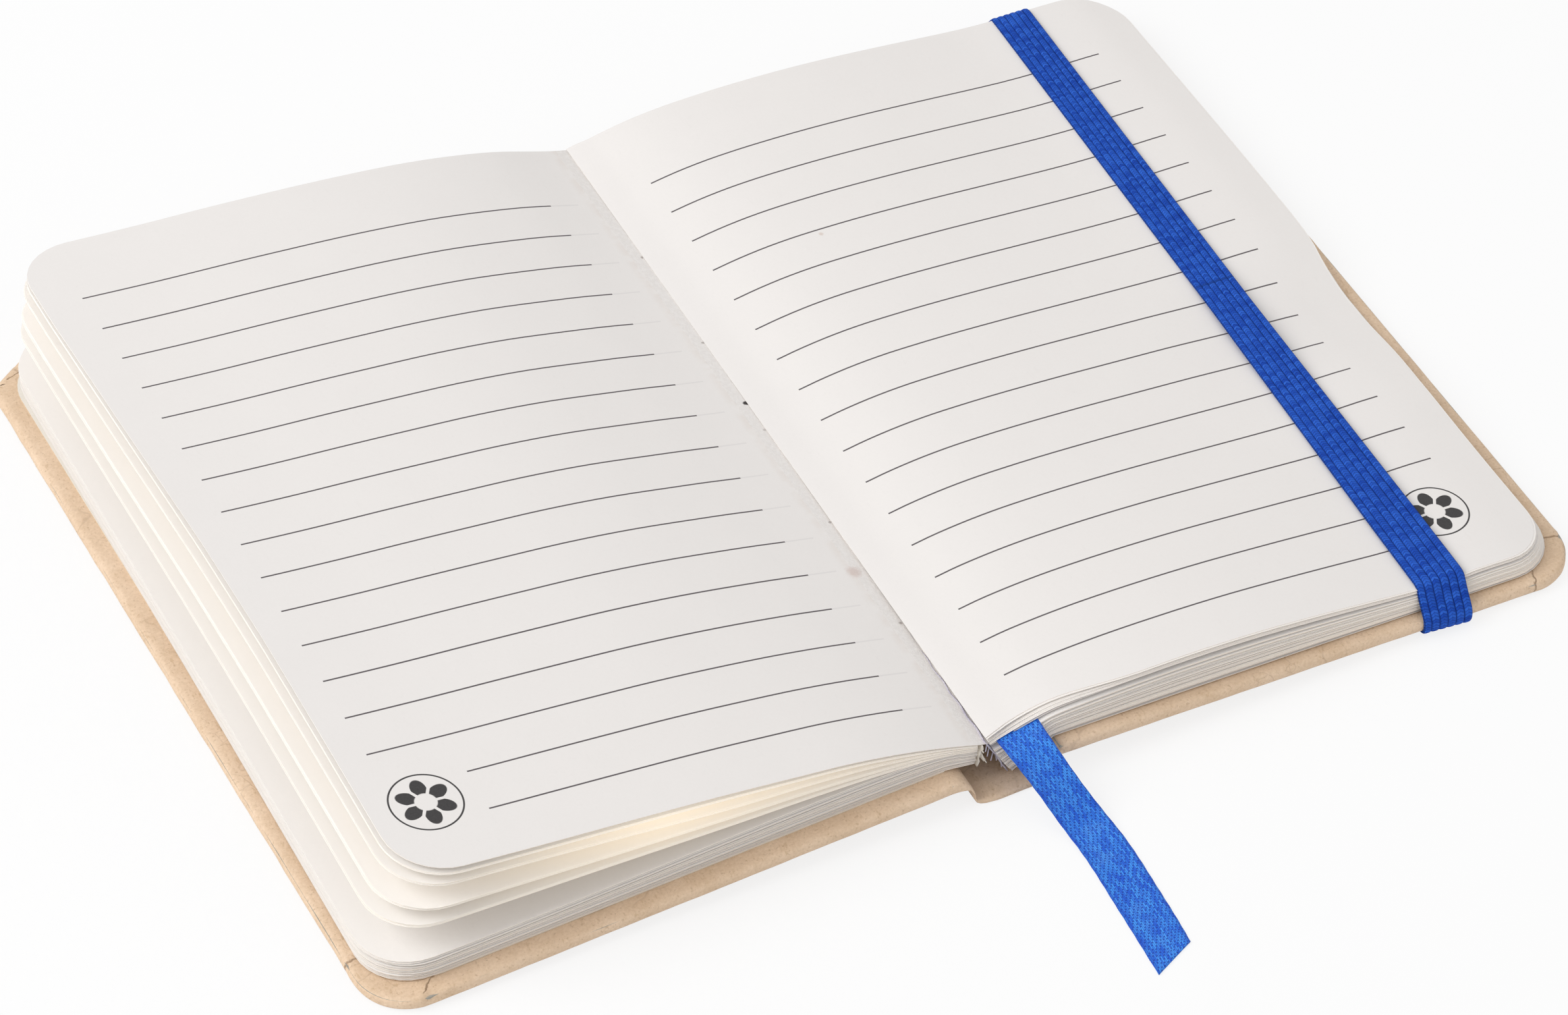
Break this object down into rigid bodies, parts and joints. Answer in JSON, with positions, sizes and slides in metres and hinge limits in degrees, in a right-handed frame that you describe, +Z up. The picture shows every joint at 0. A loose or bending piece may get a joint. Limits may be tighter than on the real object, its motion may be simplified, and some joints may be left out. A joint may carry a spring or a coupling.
{
  "type": "ruled notebook",
  "caption": "Pocket notebook with kraft covers and ruled leaves, lying open, with a blue elastic band round the back half and a blue ribbon marker.",
  "frame": {"origin": "on the table, in the middle of the spread: the middle of the spine strip's underside", "axes": "+Z up from the table, +Y along the spine from the tail to the head, +X towards the back cover on the right"},
  "size_m": [0.1885, 0.1771, 0.0245],
  "materials": {
    "greyboard": "matt grey board",
    "inlay_card": "matt brown card",
    "kraft_paper": "matt kraft paper",
    "endpaper": "matt off-white paper",
    "ruled_paper": "matt off-white paper with grey lines",
    "lining_paper": "matt paper with dry glue",
    "elastic": "ribbed blue elastic",
    "ribbon": "blue satin ribbon"
  },
  "bodies": {
    "back_half": {"back_board": "greyboard", "back_cover_paper": "kraft_paper", "spine_inlay": "inlay_card", "back_endpaper": "endpaper", "right_pages": "ruled_paper", "right_spine_lining": "lining_paper", "elastic_band": "elastic", "ribbon_marker": "ribbon"},
    "front_half": {"front_board": "greyboard", "front_cover_paper": "kraft_paper", "front_endpaper": "endpaper", "left_pages": "ruled_paper", "left_spine_lining": "lining_paper"}
  },
  "joints": [
    {"name": "front_cover_hinge", "type": "hinge", "parent": "back_half", "child": "front_half", "pos_m": [-0.0013, 0, 0.0085], "axis": [0, 1, 0], "range_deg": [0, 148]}
  ]
}
